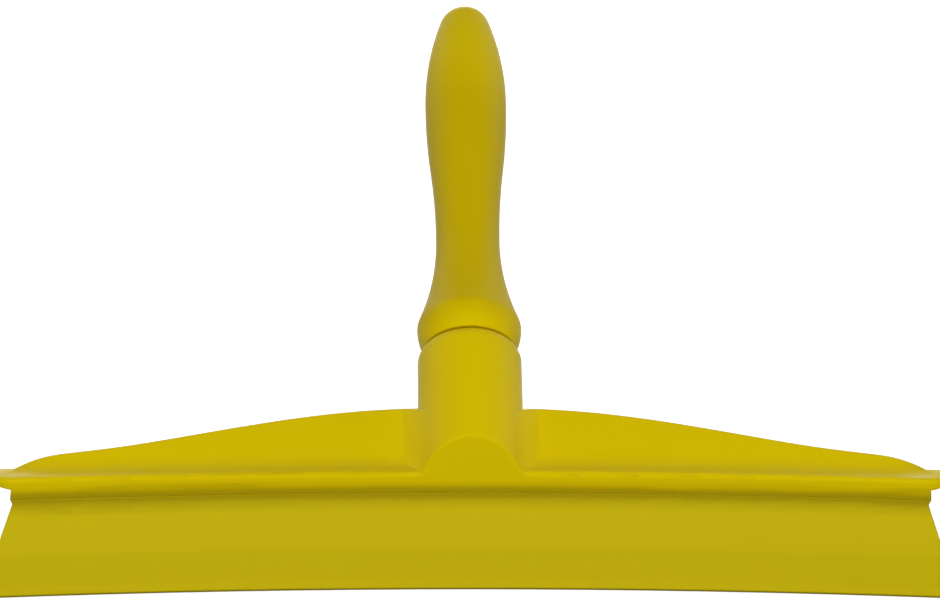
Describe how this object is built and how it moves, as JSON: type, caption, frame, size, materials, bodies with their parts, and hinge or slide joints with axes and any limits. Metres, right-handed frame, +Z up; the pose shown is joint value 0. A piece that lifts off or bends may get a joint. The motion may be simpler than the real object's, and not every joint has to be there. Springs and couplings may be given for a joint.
{
  "type": "hand squeegee",
  "caption": "Hand squeegee: a long soft blade moulded onto a winged rigid head with a leaning threaded socket, and a short contoured grip screwed into it.",
  "frame": {"origin": "middle of the wiping edge, on the flat face that rests on the surface being wiped", "axes": "+X along the blade, +Y to the rear, the way the socket and grip lean, +Z up from the wiping edge to the head"},
  "size_m": [0.405, 0.2214, 0.206],
  "materials": {
    "head_plastic": "satin",
    "blade_rubber": "satin",
    "handle_plastic": "satin"
  },
  "bodies": {
    "head": {"head": "head_plastic", "blade": "blade_rubber"},
    "handle": {"handle": "handle_plastic"}
  },
  "joints": [
    {"name": "handle_withdraw", "type": "slide", "parent": "head", "child": "handle", "axis": [0, 0.7986, 0.6018], "range_m": [0, 0.045]}
  ]
}
